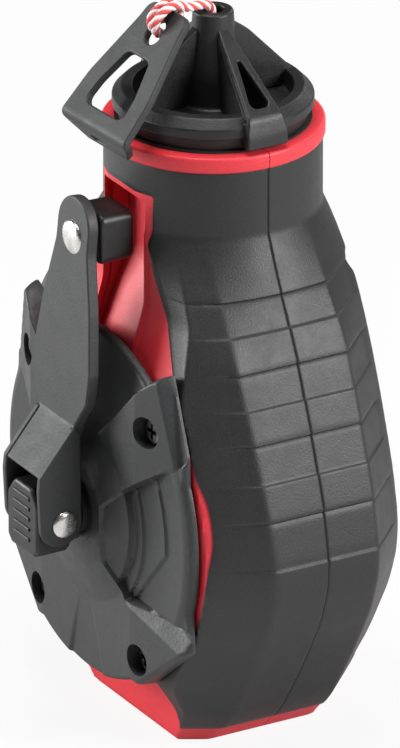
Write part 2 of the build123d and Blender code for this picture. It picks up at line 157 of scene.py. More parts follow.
# bright and dark steels, with faint turning marks
metalLooks = {
    "brightSteel": ((0.66, 0.65, 0.63), (0.84, 0.83, 0.81), (0.20, 0.36)),
    "darkSteel": ((0.08, 0.08, 0.083), (0.20, 0.20, 0.205), (0.26, 0.42)),
    "bronze": ((0.42, 0.27, 0.12), (0.56, 0.38, 0.18), (0.30, 0.46)),
}


def metalFinish(name, low, high, rough):
    finish = Finish(name, Metallic=1.0)
    cloud = finish.noise(300, 4, 0.6)
    stretched = finish.add("ShaderNodeMapping", None, {"Vector": finish.place, "Scale": (400, 400, 3200)})
    scratch = finish.add("ShaderNodeTexNoise", None, {"Vector": stretched, "Scale": 1.0, "Detail": 2.0})
    finish.give("Base Color", finish.mix(cloud.ramp(0.35, 0.7), low, high))
    uneven = (cloud * 0.5 + scratch * 0.5).ramp(0.35, 0.65)
    finish.give("Roughness", rough[0] + uneven * (rough[1] - rough[0]))
    finish.bump(scratch, 0.000015, 0.6)
    return finish.material


def fibreFinish(name, low, high, strands):
    finish = Finish(name)
    fuzz = finish.noise(2600, 3, 0.7)
    finish.give("Base Color", finish.mix(fuzz.ramp(0.3, 0.7), low, high))
    finish.give("Roughness", 0.78 + 0.18 * fuzz)
    finish.bump(fuzz + 0.6 * finish.noise(strands, 2), 0.00012, 0.9)
    return finish.material


looks = {name: mouldedFinish(name, *values) for name, values in plasticLooks.items()}
looks.update({name: metalFinish(name, *values) for name, values in metalLooks.items()})
looks["whiteYarn"] = fibreFinish("whiteYarn", (0.70, 0.66, 0.64), (0.90, 0.87, 0.85), 4200)
looks["redYarn"] = fibreFinish("redYarn", (0.60, 0.055, 0.06), (0.80, 0.12, 0.12), 4200)
looks["felt"] = fibreFinish("felt", (0.48, 0.47, 0.43), (0.66, 0.65, 0.60), 1500)
print("finishes made:", len(looks))


# numpy helpers for shapes, all in mm
def smooth(low, high, value):
    t = np.clip((value - low) / (high - low), 0, 1)
    return t * t * (3 - 2 * t)


def polyDistance(points, px, pz):  # signed distance to a closed outline, negative inside
    corners = np.array(points, float)
    best = np.full(px.shape, 1e9)
    inside = np.zeros(px.shape, bool)
    for (ax, az), (bx, bz) in zip(corners, np.roll(corners, -1, axis=0)):
        ex, ez = bx - ax, bz - az
        t = np.clip(((px - ax) * ex + (pz - az) * ez) / (ex * ex + ez * ez), 0, 1)
        best = np.minimum(best, np.hypot(px - ax - t * ex, pz - az - t * ez))
        if ez:
            crosses = (az > pz) != (bz > pz)
            inside ^= crosses & (px < ex * (pz - az) / ez + ax)
    return np.where(inside, -best, best)


def bothSides(points):
    return points + [(-x, z) for x, z in reversed(points) if x > 0]


def makeObject(name, points, faces, material):
    mesh = bpy.data.meshes.new(name)
    mesh.from_pydata([tuple(float(c) * mm for c in p) for p in points], [], [tuple(f) for f in faces])
    mesh.validate()
    obj = bpy.data.objects.new(name, mesh)
    bpy.context.scene.collection.objects.link(obj)
    mesh.materials.append(material)
    mesh.polygons.foreach_set("use_smooth", [True] * len(mesh.polygons))
    return obj


def sharpen(obj, angle):  # smooth faces with crisp edges past this angle
    obj.data.set_sharp_from_angle(angle=math.radians(angle))


def gridFaces(rows, columns, closed=False):
    faces = []
    last = columns if closed else columns - 1
    for row in range(rows - 1):
        for column in range(last):
            after = (column + 1) % columns
            faces.append((row * columns + column, row * columns + after,
                          (row + 1) * columns + after, (row + 1) * columns + column))
    return faces


def rimEdges(faces):  # edges used by one face only, in that face's own direction
    seen = {}
    for face in faces:
        for a, b in zip(face, face[1:] + face[:1]):
            seen[(a, b)] = True
    return [(a, b) for a, b in seen if (b, a) not in seen]


def thickSkin(name, outer, inner, faces, material, leaveOpen=()):  # two surfaces joined round their edges
    count = len(outer)
    everything = faces + [tuple(i + count for i in reversed(face)) for face in faces]
    everything += [(b, a, a + count, b + count) for a, b in rimEdges(faces)
                   if not (a in leaveOpen and b in leaveOpen)]
    obj = makeObject(name, list(outer) + list(inner), everything, material)
    dropLoose(obj)
    return obj


def stack(x, y, z):
    return np.stack([np.ravel(x), np.ravel(y), np.ravel(z)], axis=1)


# body: one set of section curves, from which the red case halves and the soft grips are both drawn
body = {
    # height, half width
    "outline": [(-6, 24.2), (0, 26.9), (10, 36.9), (27.5, 48.5), (44, 57.9), (55, 61.8), (64, 62.4),
                (77, 59.7), (87, 56.4), (97, 52.8), (106, 49.2), (115, 45.6), (124, 41.5), (132, 37.4),
                (139, 33.2), (146, 30.4), (157, 29.5), (175, 29.5)],
    # height, depth to the front and to the rear
    "front": [(0, 25), (12, 27.2), (22, 33), (108, 33), (126, 27.9), (156, 27.9), (160, 30), (175, 30)],
    "rear": [(0, 26.0), (15, 30.0), (108, 30.2), (121, 29.6), (175, 29.6)],
    # height, radius of the round neck
    "neck": [(112, 45.0), (131, 36.6), (147, 29.5), (175, 29.5)],
    "neckBlend": (113, 150),  # the facets turn into the neck between these heights
    "corner": 260.0,  # higher is a crisper edge between facets
    "scale": 50.0,  # keeps the powers of that corner within range
    "frontFacet": (0.8698, 0.4936),  # directions of the bevels, sideways and along the depth
    "rearFacet": (0.7071, 0.7071),
    "sideFront": (16.2, 0.04),  # front edge of the side facet, and how much farther forward higher up
    "sideRear": 15.5,
    "step": 0.85,  # mesh spacing of the grips, mm
    "caseStep": 1.3,
    "gripGap": 0.75,  # how far the grip stands proud of the red case
    "gripDrop": 0.38,  # how far the grip's edge curves down
    "gripDeep": 1.6,  # depth of the wall below that edge
    "gripRound": 1.5,  # how far in from its edge the grip curves down
    "gripOver": 0.15,  # how far the grip reaches past its outline
    "bands": [(132, 124), (115, 106), (97, 87), (77, 64)],  # sunken bands across the sides, top and bottom
    "bandDepth": 0.42,
    "panelRadius": 51.5,  # opening in the front grip, a little wider halfway up
    "panelSwell": 1.8,
    "rearRadius": 40.0,
    "flatWidth": 56.0,  # the round openings reach no farther out than this
    "sideFoot": 6.0,  # the grips end this far above the base
    "top": 166.3,
    "grooveDepth": 0.4,  # line along the top of each band
    "bandFade": [(-30, -17), (25.5, 29)],  # the bands fade out between these depths, front and rear
    "seamDepth": 0.32, "seamWidth": 0.2,
    "screws": [(28.5, 18.5), (21.5, 130)], "screwRadius": 3.6, "screwDepth": 17.0,  # rear screw holes
    "caseDrop": 2.4,  # how deep the case lies under the grips
    "caseWall": 2.2,
    "farAway": 50,  # stands for a distance from something that isn't there
}
redFront = [(0, 60), (47.5, 88), (43.3, 98.8), (32.4, 114), (16, 136), (13.2, 143), (13.2, 157), (0, 157)]
redFoot = [(0, -9), (24, -9), (27.5, 8), (24, 21), (0, 21)]


def curve(name, height, blur=3.0):
    table = np.array(body[name])
    total = 0
    for shift in (-1.0, -0.5, 0.0, 0.5, 1.0):
        total = total + np.interp(height + shift * blur, table[:, 0], table[:, 1])
    return total / 5


def sectionPoint(angle, height, grow):
    ca, sa = np.cos(angle), np.sin(angle)
    side = curve("outline", height) + grow
    front = curve("front", height, 1.5) + grow
    rear = curve("rear", height, 1.5) + grow
    start, rise = body["sideFront"]
    (frontAcross, frontDeep), (rearAcross, rearDeep) = body["frontFacet"], body["rearFacet"]
    frontBevel = frontAcross * side + frontDeep * (start + rise * np.maximum(height - hubHeight, 0))
    rearBevel = rearAcross * (side + body["sideRear"])
    total = 0
    for nx, ny, distance in ((1, 0, side), (-1, 0, side), (0, -1, front), (0, 1, rear),
                             (frontAcross, -frontDeep, frontBevel), (-frontAcross, -frontDeep, frontBevel),
                             (rearAcross, rearDeep, rearBevel), (-rearAcross, rearDeep, rearBevel)):
        total = total + (np.maximum(nx * ca + ny * sa, 0) * body["scale"] / distance) ** body["corner"]
    faceted = body["scale"] * total ** (-1 / body["corner"])
    neck = np.interp(height, *np.array(body["neck"]).T) + grow
    blend = smooth(*body["neckBlend"], height)
    radius = faceted * (1 - blend) + neck * blend
    return radius * ca, np.clip(radius * sa, -front, rear)  # the neck stays within the flat front and back


def screwHoleAt(x, y, height):
    nearest = np.minimum.reduce([np.hypot(np.abs(x) - sx, height - sz) for sx, sz in body["screws"]])
    return np.where(y < 0, body["farAway"], nearest - body["screwRadius"])


def gripEdge(x, y, height):  # distance inside the grip's outline, negative where the red case shows
    front = y < 0
    swell = body["panelSwell"] * (1 - np.clip((height - hubHeight) / 31, -1, 1) ** 2)
    opening = np.where(front, body["panelRadius"] + swell, body["rearRadius"])
    circle = np.hypot(x, height - hubHeight) - opening
    circle = np.where(np.abs(x) < body["flatWidth"], circle, body["farAway"])
    window = np.where(front, polyDistance(bothSides(redFront), x, height), body["farAway"])
    foot = polyDistance(bothSides(redFoot), x, height)
    return np.minimum.reduce([circle, window, foot, height - body["sideFoot"], body["top"] + 0.4 - height,
                              screwHoleAt(x, y, height)])


def bandRecess(y, height):
    depth, lines = 0, 0
    for top, low in body["bands"]:
        depth = depth + smooth(low - 0.35, low + 0.35, height) * (1 - smooth(top - 0.3, top + 0.3, height))
        lines = lines + np.exp(-((height - top) / 0.35) ** 2) * body["grooveDepth"]
    front, rear = body["bandFade"]
    fade = smooth(*front, y) * (1 - smooth(*rear, y))
    return (depth * body["bandDepth"] + lines) * fade


def bodyRows(fine):
    step = body["step"] if fine else body["caseStep"]
    rows = list(np.arange(1.2, body["top"], step))
    if fine:
        for pair in body["bands"]:
            for edge in pair:
                rows += [edge - 0.35, edge - 0.12, edge + 0.12, edge + 0.35]
    return np.array(sorted(rows + [0.0, 0.4, body["top"]]))


def bodyColumns(front, fine):
    count = 250 if fine else 170
    start = math.pi if front else 0.0
    middle = np.linspace(0.02, math.pi - 0.02, count)
    ends = [0.0003, 0.004, 0.011]
    return start + np.array(sorted(ends + list(middle) + [math.pi - e for e in ends]))


def seamDip(y):
    return body["seamDepth"] * np.exp(-(y / body["seamWidth"]) ** 2)


# recess for the folded crank's knob
pocket = {
    "halfWidth": 11.0, "low": 104.0, "top": 155.5,
    # height, y
    "floor": [(103, -32.9), (105.5, -31.2), (108.5, -29.6), (133, -20.6), (136, -20), (156, -20)],
}


def pocketAt(angle, height):
    x, y = sectionPoint(angle, height, 0.0)
    half = pocket["halfWidth"]
    outline = [(-half, pocket["low"]), (half, pocket["low"]), (half, pocket["top"]), (-half, pocket["top"])]
    return np.where(y < 0, polyDistance(outline, x, height), body["farAway"])


def clipGrid(u, v, insideAt, closed=False):  # keeps where insideAt is above 0, cut along its outline
    quads = gridFaces(*u.shape, closed)
    u, v = u.ravel(), v.ravel()
    inside = insideAt(u, v) > 0
    crossed = {tuple(sorted(pair)) for quad in quads for pair in zip(quad, quad[1:] + quad[:1])
               if inside[pair[0]] != inside[pair[1]]}
    number = {pair: len(u) + place for place, pair in enumerate(sorted(crossed))}
    if number:
        ends = np.array(sorted(crossed))
        kept = np.where(inside[ends[:, 0]], ends[:, 0], ends[:, 1])
        lost = ends.sum(axis=1) - kept
        near, far = np.zeros(len(ends)), np.ones(len(ends))
        for _ in range(halvings):
            middle = (near + far) / 2
            good = insideAt(*[c[kept] + (c[lost] - c[kept]) * middle for c in (u, v)]) > 0
            near, far = np.where(good, middle, near), np.where(good, far, middle)
        u, v = [np.append(c, c[kept] + (c[lost] - c[kept]) * near) for c in (u, v)]
    faces = []
    for quad in quads:
        loop = []
        for a, b in zip(quad, quad[1:] + quad[:1]):
            if inside[a]:
                loop.append(a)
            if inside[a] != inside[b]:
                loop.append(number[tuple(sorted((a, b)))])
        if loop:
            faces.append(tuple(loop))
    return u, v, faces


def makeGrip(name, front):
    rows, columns = bodyRows(True), bodyColumns(front, True)

    def insideAt(angle, height):
        return gripEdge(*sectionPoint(angle, height, 0.0), height) + body["gripOver"]

    angle, height, faces = clipGrid(*np.meshgrid(columns, rows), insideAt)
    x0, y0 = sectionPoint(angle, height, 0.0)
    lift = np.clip((gripEdge(x0, y0, height) + body["gripOver"]) / body["gripRound"], 0, 1)
    dome = np.sqrt(1 - (1 - lift) ** 2)
    grow = -body["gripDrop"] * (1 - dome) - bandRecess(y0, height) - seamDip(y0)
    outer = stack(*sectionPoint(angle, height, grow), height)
    inner = stack(*sectionPoint(angle, height, -body["gripDeep"]), height)
    return thickSkin(name, outer, inner, faces, looks["gripRubber"])


def dropLoose(obj, turnOut=False):
    work = bmesh.new()
    work.from_mesh(obj.data)
    bmesh.ops.delete(work, geom=[v for v in work.verts if not v.link_faces], context="VERTS")
    if turnOut:
        bmesh.ops.recalc_face_normals(work, faces=work.faces)
    work.to_mesh(obj.data)
    work.free()


def makeCase(name, front):
    rows, columns = bodyRows(False), bodyColumns(front, False)

    def holeAt(angle, height):
        return pocketAt(angle, height) if front else screwHoleAt(*sectionPoint(angle, height, 0.0), height)

    angle, height, faces = clipGrid(*np.meshgrid(columns, rows), holeAt)
    x0, y0 = sectionPoint(angle, height, 0.0)
    proud = 1 - smooth(0.5, 3.0, pocketAt(angle, height)) * smooth(-6, 0, -height + 150)
    shown = body["gripGap"] * (1 - 0.8 * proud * (y0 < 0))  # almost level with the grip round the recess
    under = smooth(0.9, 3.2, gripEdge(x0, y0, height))  # 1 well under the grip
    chamfer = 0.9 * (1 - smooth(0.0, 1.1, height))
    grow = -shown * (1 - under) - body["caseDrop"] * under - chamfer - 0.5 * seamDip(y0)
    outer = stack(*sectionPoint(angle, height, grow), height)
    inner = stack(*sectionPoint(angle, height, grow - body["caseWall"]), height + 0.9 * (height < 0.2))
    lip, edges = rimOfHoles(faces, holeAt(angle, height), 0.05)
    obj = thickSkin(name, outer, inner, faces, looks["redPlastic"], lip)
    closeFoot(obj, outer[:len(columns)])
    if front:
        return joinInto(obj, [makeTub(outer, edges)])
    return joinInto(obj, [holeWalls(outer, edges, body["screwDepth"], looks["redPlastic"])])


def rimOfHoles(faces, away, reach):  # points and rim edges within reach of the holes' outlines
    lip = set(np.flatnonzero(np.abs(away) < reach))
    return lip, [(a, b) for a, b in rimEdges(faces) if a in lip and b in lip]


def holeWalls(skin, edges, level, material):  # walls from the rims of holes straight in to one y
    used = sorted({i for edge in edges for i in edge})
    number = {index: place for place, index in enumerate(used)}
    top = skin[used]
    points = np.concatenate([top, np.where([False, True, False], level, top)])
    count = len(used)
    faces = [(number[b], number[a], number[a] + count, number[b] + count) for a, b in edges]
    return makeObject("holeWalls", points, faces, material)


def closeFoot(obj, rim):  # the foot's flat underside, fanned to the middle of the seam
    points = [(0, 0, 0)] + list(rim)
    foot = makeObject("foot", points, [(0, i + 1, i) for i in range(1, len(rim))], looks["redPlastic"])
    return joinInto(obj, [foot])


def floorAt(height):
    return np.interp(height, *np.array(pocket["floor"]).T)


def makeTub(skin, edges):  # walls from the skin's edge in to the sloping floor of the knob's recess
    used = sorted({i for edge in edges for i in edge})
    number = {index: place for place, index in enumerate(used)}
    lip = skin[used]
    deep = lip.copy()
    deep[:, 1] = np.maximum(floorAt(lip[:, 2]), lip[:, 1])
    middle = lip * 0.4 + deep * 0.6
    count = len(used)
    faces = []
    for a, b in edges:
        a, b = number[a], number[b]
        faces += [(b, a, a + count, b + count), (b + count, a + count, a + 2 * count, b + 2 * count)]
    points = [tuple(p) for p in np.concatenate([lip, middle, deep])]
    half = pocket["halfWidth"]
    heights = np.arange(pocket["low"] - 0.2, pocket["top"] + 0.4, 1.0)
    across = np.linspace(-half - 0.1, half + 0.1, 12)
    first = len(points)
    points += [(x, float(floorAt(h)), h) for h in heights for x in across]
    faces += [tuple(first + i for i in quad) for quad in gridFaces(len(heights), len(across))]
    return makeObject("tub", points, faces, looks["redPlastic"])


mouth = {"outer": 30.15, "inner": 23.7, "low": 166.0, "high": 170.6, "round": 0.9, "lap": (2.5, 1.0)}


def makeRing(front):  # half of the red mouth ring, in a rounded section
    outer, inner, low, high, soft = [mouth[key] for key in ("outer", "inner", "low", "high", "round")]
    across, down = mouth["lap"]
    section = []
    for middle, start in ((low + soft, -90), (high - soft, 0)):
        for turn in range(0, 91, 15):
            a = math.radians(start + turn)
            section.append((outer - soft + soft * math.cos(a), middle + soft * math.sin(a)))
    section += [(inner, high), (inner, low - down), (outer - across, low - down), (outer - across, low)]
    start = math.pi if front else 0
    angles = np.linspace(start + 0.004, start + math.pi - 0.004, 97)
    points = [(radius * math.cos(a), radius * math.sin(a), z) for a in angles for radius, z in section]
    count = len(section)
    faces = gridFaces(len(angles), count, True)
    faces += [tuple(range(count)), tuple(range((len(angles) - 1) * count, len(angles) * count))]
    obj = makeObject("ring", points, faces, looks["redPlastic"])
    dropLoose(obj, True)
    return obj


def joinInto(target, others):
    bpy.ops.object.select_all(action="DESELECT")
    for obj in [target] + others:
        obj.select_set(True)
    bpy.context.view_layer.objects.active = target
    bpy.ops.object.join()
    return target


def finishPiece(obj, owner, slotName, node):
    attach(obj, owner)
    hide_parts(node)
    print(obj.name, "made:", len(obj.data.polygons), "faces")


frontCase = joinInto(makeCase("frontCase", True), [makeRing(True)])
rearCase = joinInto(makeCase("rearCase", False), [makeRing(False)])
frontGrip = makeGrip("frontGrip", True)
rearGrip = makeGrip("rearGrip", False)
for piece, slotName, node in ((frontCase, "red_plastic", "front_shell"),
                              (rearCase, "red_plastic", "rear_shell"),
                              (frontGrip, "grip_rubber", "front_grip"),
                              (rearGrip, "grip_rubber", "rear_grip")):
    sharpen(piece, 40)
    finishPiece(piece, "housing", slotName, node)


# plates: a flat outline with holes, rounded edges, then bent into place
def rounded(corners, steps=6):  # corners are (across, along, radius)
    points = []
    for index, (x, y, radius) in enumerate(corners):
        here = np.array((x, y), float)
        before = np.array(corners[index - 1][:2], float) - here
        after = np.array(corners[(index + 1) % len(corners)][:2], float) - here
        before, after = before / np.linalg.norm(before), after / np.linalg.norm(after)
        half = math.acos(float(np.clip(before @ after, -1, 1))) / 2
        if radius == 0 or half > 1.55:
            points.append(tuple(here))
            continue
        reach = radius / math.tan(half)
        middle = here + (before + after) / np.linalg.norm(before + after) * radius / math.sin(half)
        first, last = here + before * reach - middle, here + after * reach - middle
        start = math.atan2(first[1], first[0])
        sweep = (math.atan2(last[1], last[0]) - start + math.pi) % (2 * math.pi) - math.pi
        for step in range(steps + 1):
            turn = start + sweep * step / steps
            points.append((middle[0] + radius * math.cos(turn), middle[1] + radius * math.sin(turn)))
    return points


def mirrorX(corners):
    return corners + [(-c[0],) + tuple(c[1:]) for c in reversed(corners) if c[0] > 0]


def inset(loop, amount):  # moves a closed outline inwards
    here = np.array(loop)
    step = np.roll(here, -1, axis=0) - np.roll(here, 1, axis=0)
    area = np.sum(here[:, 0] * np.roll(here[:, 1], -1) - np.roll(here[:, 0], -1) * here[:, 1])
    normal = np.stack([-step[:, 1], step[:, 0]], axis=1) * np.sign(area)
    return here + normal / np.linalg.norm(normal, axis=1)[:, None] * amount


def makePlate(name, loops, thickness, soft, material, cuts, bend):
    points, faces, caps = [], [], ([], [])
    turns = [math.radians(a) for a in (0, 22, 45, 68, 90)]
    rings = [(soft * (1 - math.sin(a)), thickness / 2 - soft * (1 - math.cos(a))) for a in turns]
    rings += [(amount, -height) for amount, height in reversed(rings)]
    for index, loop in enumerate(loops):
        first = len(points)
        size = len(loop)
        for amount, height in rings:
            ring = inset(loop, amount if index == 0 else -amount)
            points += [(x, y, height) for x, y in ring]
        faces += [tuple(first + i for i in quad) for quad in gridFaces(len(rings), size, True)]
        for cap, row in zip(caps, (0, len(rings) - 1)):
            cap.append(list(range(first + row * size, first + (row + 1) * size)))
    for cap in caps:
        flat = [i for loop in cap for i in loop]
        outlines = [[Vector((points[i][0], points[i][1], 0)) for i in loop] for loop in cap]
        faces += [tuple(flat[i] for i in face) for face in tessellate_polygon(outlines)]
    obj = makeObject(name, points, faces, material)
    work = bmesh.new()
    work.from_mesh(obj.data)
    bmesh.ops.remove_doubles(work, verts=work.verts, dist=1e-7)
    for cut in cuts:
        everything = work.verts[:] + work.edges[:] + work.faces[:]
        bmesh.ops.bisect_plane(work, geom=everything, plane_co=(0, cut * mm, 0), plane_no=(0, 1, 0))
    bmesh.ops.recalc_face_normals(work, faces=work.faces)
    work.to_mesh(obj.data)
    work.free()
    move(obj, bend)
    return obj


def move(obj, place):  # place takes and gives columns of x, y, z in mm
    count = len(obj.data.vertices)
    flat = np.empty(count * 3)
    obj.data.vertices.foreach_get("co", flat)
    x, y, z = flat.reshape(count, 3).T / mm
    moved = np.stack([np.broadcast_to(c, x.shape) for c in place(x, y, z)], axis=1) * mm
    obj.data.vertices.foreach_set("co", moved.ravel())
    dropLoose(obj, True)


def alongPath(path, radii):  # a bent line as a function: distance along it to place and direction
    line = []
    for index, (a, b) in enumerate(path):
        if 0 < index < len(path) - 1:
            corner = rounded([path[index - 1] + (0,), (a, b, radii[index - 1]), path[index + 1] + (0,)], 8)
            line += [p for p in corner if p not in (path[index - 1], path[index + 1])]
        else:
            line.append((a, b))
    line = np.array(line)
    reach = np.append(0, np.cumsum(np.linalg.norm(np.diff(line, axis=0), axis=1)))

    def place(distance):
        a = np.interp(distance, reach, line[:, 0])
        b = np.interp(distance, reach, line[:, 1])
        ahead, behind = distance + 0.2, distance - 0.2
        da = np.interp(ahead, reach, line[:, 0]) - np.interp(behind, reach, line[:, 0])
        db = np.interp(ahead, reach, line[:, 1]) - np.interp(behind, reach, line[:, 1])
        size = np.maximum(np.hypot(da, db), 1e-9)
        da, db = da / size, db / size
        over, under = np.maximum(distance - reach[-1], 0), np.minimum(distance, 0)
        return a + da * (over + under), b + db * (over + under), da, db

    return place


def makeLathe(name, profile, material, count):  # closed profile of (radius, z) turned about the Z axis
    angles = np.linspace(0, 2 * math.pi, count, endpoint=False)
    points = [(r * math.cos(a), r * math.sin(a), z) for a in angles for r, z in profile]
    faces = [tuple(i % len(points) for i in quad) for quad in gridFaces(count + 1, len(profile), True)]
    obj = makeObject(name, points, faces, material)
    dropLoose(obj, True)
    return obj


def crisp(obj, angle=35):  # flat faces stay flat beside rounded edges
    sharpen(obj, angle)
    modifier = obj.modifiers.new("normals", "WEIGHTED_NORMAL")
    modifier.weight = 80
    modifier.keep_sharp = True
    mesh = bpy.data.meshes.new_from_object(obj.evaluated_get(bpy.context.evaluated_depsgraph_get()))
    obj.modifiers.clear()
    obj.data = mesh
    return obj


# cap: turned tube and flange, two plain fins, two slotted fins that fold over the rim
cap = {
    "turned": [(3.0, 201.6, 0.4), (5.5, 201.6, 0.9), (6.0, 194.0, 4), (7.4, 184.0, 6), (8.6, 175.4, 1.2),
               (21.0, 175.4, 0.6), (21.6, 180.0, 0.5), (24.6, 180.0, 1.4), (27.2, 177.4, 1.0),
               (27.2, 174.7, 0.6), (25.5, 174.3, 0.2), (25.5, 171.3, 0.2), (23.3, 171.3, 0.3),
               (23.3, 158.8, 0.3), (20.5, 158.8, 0.3), (20.5, 173.7, 0.3), (6.2, 173.9, 0.5),
               (3.0, 186.0, 1.0)],
    "finTop": (5.6, 197.4), "finEnd": (26.2, 180.5), "finThick": 2.7,
    "strapHalf": 5.1, "strapThick": 2.3, "wallThick": 1.9,
    "lugLow": 171.4, "lugOut": 28.4, "rimTop": 175.2,
    # block under the folded end of a strap
    "lug": [(24.0, 179.0, 0.3), (27.0, 179.0, 0.8), (27.9, 176.0, 1), (27.9, 171.5, 0.4),
            (26.4, 171.5, 0.3), (24.0, 174.0, 0.3)],
    "key": [(20.8, -4.2, 0.4), (23.9, -4.2, 0.6), (24.2, 0, 20), (23.9, 4.2, 0.6), (20.8, 4.2, 0.4)],
    "keyHeight": 163.0, "keyThick": 3.2,
}


def turnAbout(angle):  # a plate's own x, y, z to a fin standing at this angle
    ca, sa = math.cos(math.radians(angle)), math.sin(math.radians(angle))

    def place(out, height, across):
        return out * ca - across * sa, out * sa + across * ca, height

    return place


def makeCapFin(angle):
    (r0, z0), end, rim = cap["finTop"], cap["finEnd"][0] + 0.5, cap["rimTop"]
    outline = rounded([(4.0, z0 + 0.8, 0), (r0, z0, 1.0), (10.4, 193.9, 8), (end, 177.0, 0.9),
                       (end, rim, 0.2), (4.0, rim, 0)], 5)
    return makePlate("capFin", [outline], cap["finThick"], 0.55, looks["capPlastic"], (), turnAbout(angle))


def makeSlottedFin(angle):
    (r0, z0), (r1, z1) = cap["finTop"], cap["finEnd"]
    half, thick = cap["strapHalf"], cap["strapThick"]
    path = [(r0 - 1.2, z0 + 0.6 - thick / 2), (r1 + 1.0, z1 + 0.2 - thick / 2),
            (cap["lugOut"], 175.0), (cap["lugOut"], cap["lugLow"])]
    place = alongPath(path, [1.6, 2.5])
    length = math.dist(path[0], path[1])
    low = length + math.dist(path[1], path[2]) + math.dist(path[2], path[3]) - 0.6
    outline = rounded(mirrorX([(1.7, 0.2, 0.6), (2.3, 5.0, 3), (half, length - 1.0, 4),
                               (half + 1.0, length + 3.0, 2), (half + 1.1, low, 0.9)]), 5)
    hole = rounded(mirrorX([(0.0, 8.2, 0.5), (2.9, length - 2.9, 1.7)]), 6)
    turned = turnAbout(angle)

    def bend(across, along, up):
        out, height, dOut, dHeight = place(along)
        return turned(out - dHeight * up, height + dOut * up, across)

    cuts = [length + shift for shift in (-2, -1.2, -0.5, 0, 0.5, 1.2, 2, 3, 4, 5)]
    cuts += [length * 0.3, length * 0.6]
    strap = makePlate("strap", [outline, hole], thick, 0.6, looks["capPlastic"], cuts, bend)
    walls = []
    wall = rounded([(4.5, z0 - 2.0, 0), (r0, z0 - 1.4, 0.5), (r1 - 0.3, z1 - 1.2, 0.5),
                    (r1 - 0.3, cap["rimTop"], 0.2), (4.5, cap["rimTop"], 0)], 4)
    for side in (-1, 1):
        def stand(out, height, across, side=side):
            lean = np.interp(out, [r0, r1], [1.1, half - 1.0])
            return turned(out, height, across + side * lean)

        walls.append(makePlate("wall", [wall], cap["wallThick"], 0.4, looks["capPlastic"], (), stand))
    lug = makePlate("lug", [rounded(cap["lug"], 4)], 2 * half + 1.6, 0.5, looks["capPlastic"], (), turned)
    return [strap, lug] + walls


def makeKey(angle):
    turned = turnAbout(angle)
    return makePlate("key", [rounded(cap["key"], 3)], cap["keyThick"], 0.4, looks["capPlastic"], (),
                     lambda out, across, up: turned(out, up + cap["keyHeight"], across))


capBody = makeLathe("capBody", rounded(cap["turned"], 5), looks["capPlastic"], 128)
capParts = [makeCapFin(90), makeCapFin(270)] + makeSlottedFin(0) + makeSlottedFin(180)
capPiece = crisp(joinInto(capBody, capParts + [makeKey(45), makeKey(225)]))
capPiece.name = "capPiece"
finishPiece(capPiece, "cap", "cap_plastic", "cap")

# hook: pressed plate with an oval hole, a tapered slot and a lip bent back under it
hook = {
    "top": (-13.5, 205.0), "low": (-39.5, 176.0), "lip": (-33.6, 168.4),  # y and height of its ends and bend
    "thick": 2.3, "turn": 4.0, "bend": 2.2,
    "edge": [(8.7, 0.4, 3.4), (9.4, 6.0, 8), (14.2, 25.5, 20), (15.1, 38.0, 1.6), (15.0, 41.2, 2.0)],
    "lipEdge": (9.4, -0.7, 1.2),  # corner of the lip, along from its end
    "notch": [(-5.2, -2.3), (0.6, -2.3), (0.6, -5.0), (-5.2, -5.0)], "notchRound": 1.4,
    "oval": [(2.9, 4.2, 2.8), (2.9, 11.6, 2.8)],
    "slot": [(4.9, 15.6, 2.2), (8.2, 26.0, 12), (9.0, 33.2, 2.6)],
}


def makeHook():
    path = [hook["top"], hook["low"], hook["lip"]]
    length = math.dist(path[0], path[1])
    total = length + math.dist(path[1], path[2])
    place = alongPath(path, [hook["bend"]])
    across, along, radius = hook["lipEdge"]
    outline = rounded(mirrorX(hook["edge"] + [(across, total + along, radius)]), 7)
    notch = rounded([(x, total + y, hook["notchRound"]) for x, y in hook["notch"]], 5)
    oval = rounded(mirrorX(hook["oval"]), 7)
    slot = rounded(mirrorX(hook["slot"]), 7)
    cuts = [length + shift for shift in (-2.4, -1.8, -1.2, -0.6, 0, 0.6, 1.2, 1.8, 2.4)]
    ca, sa = math.cos(math.radians(hook["turn"])), math.sin(math.radians(hook["turn"]))

    def bend(across, along, up):
        y, z, dy, dz = place(along)
        deep = hook["thick"] / 2 - up
        y, z = y - dz * deep, z + dy * deep
        return across * ca - y * sa, across * sa + y * ca, z

    loops = [outline, oval, slot, notch]
    return makePlate("hookPlate", loops, hook["thick"], 0.5, looks["hookCoat"], cuts, bend)


hookPlate = crisp(makeHook())
finishPiece(hookPlate, "hook", "hook_metal", "hook")

